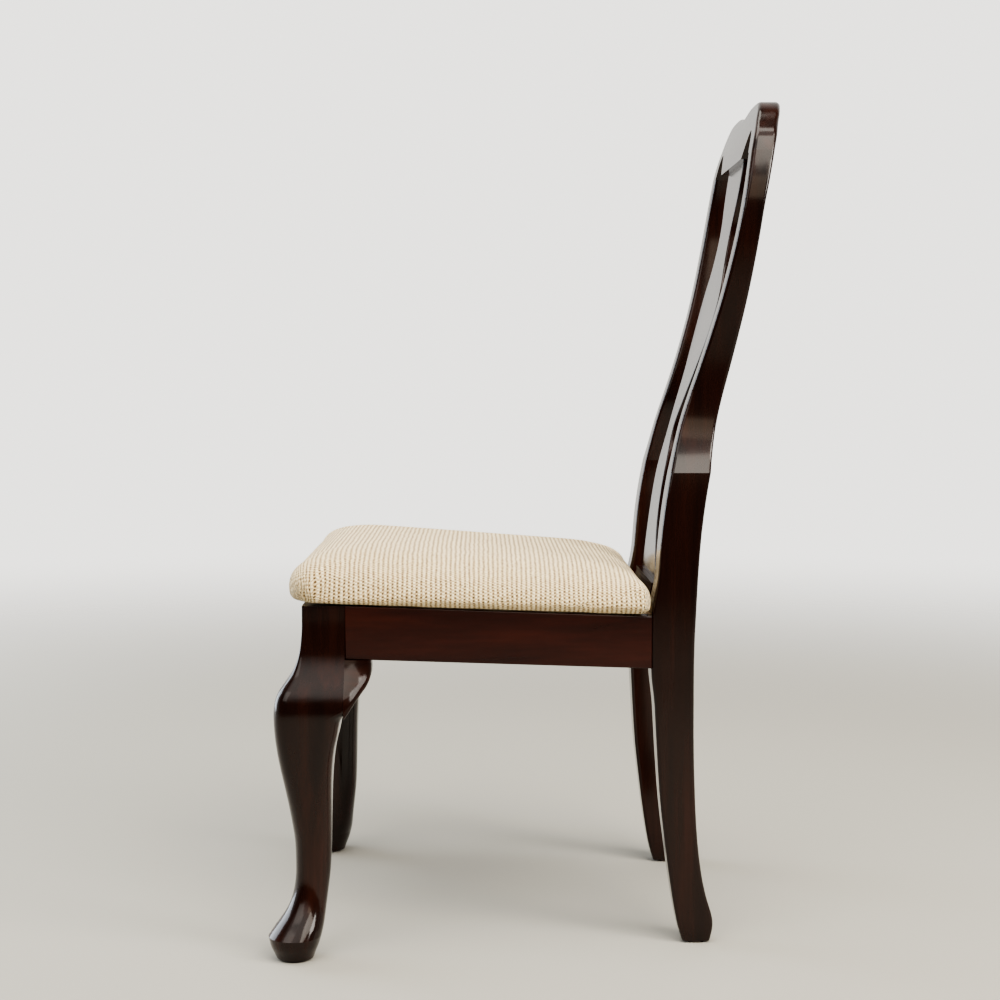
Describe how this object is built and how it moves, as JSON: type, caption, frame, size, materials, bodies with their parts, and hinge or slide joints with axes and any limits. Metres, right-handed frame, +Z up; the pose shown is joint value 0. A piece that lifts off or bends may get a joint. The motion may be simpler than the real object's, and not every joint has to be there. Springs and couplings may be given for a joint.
{
  "type": "dining chair",
  "caption": "Dining chair with cabriole front legs on pad feet, raked rear legs, a vase-shaped splat, a round-shouldered crest and a crowned upholstered seat.",
  "frame": {"origin": "centre of the bounding box on the floor", "axes": "+Z up, +X to the sitter's left, +Y towards the back of the chair"},
  "size_m": [0.515, 0.6106, 1.0126],
  "materials": {
    "dark_wood": "gloss lacquer",
    "plain_wood": "raw",
    "plywood": "raw",
    "padding": "foam",
    "cover_fabric": "ribbed weave",
    "dust_cloth": "matt",
    "screw_steel": "zinc plated",
    "glide_plastic": "matt"
  },
  "bodies": {
    "root": {"front_leg_left": "dark_wood", "front_leg_right": "dark_wood", "knee_block_side_left": "dark_wood", "knee_block_side_right": "dark_wood", "knee_block_front_left": "dark_wood", "knee_block_front_right": "dark_wood", "back_leg_left": "dark_wood", "back_leg_right": "dark_wood", "front_rail": "dark_wood", "side_rail_left": "dark_wood", "side_rail_right": "dark_wood", "rear_rail": "dark_wood", "crest_rail": "dark_wood", "splat": "dark_wood", "splat_shoe": "dark_wood", "corner_block_front_left": "plain_wood", "corner_block_front_right": "plain_wood", "corner_block_rear_left": "plain_wood", "corner_block_rear_right": "plain_wood", "rail_dowels": "plain_wood", "crest_dowels": "plain_wood", "seat_board": "plywood", "seat_foam": "padding", "seat_cover": "cover_fabric", "dust_cover": "dust_cloth", "seat_screws": "screw_steel", "foot_glides": "glide_plastic"}
  },
  "joints": []
}
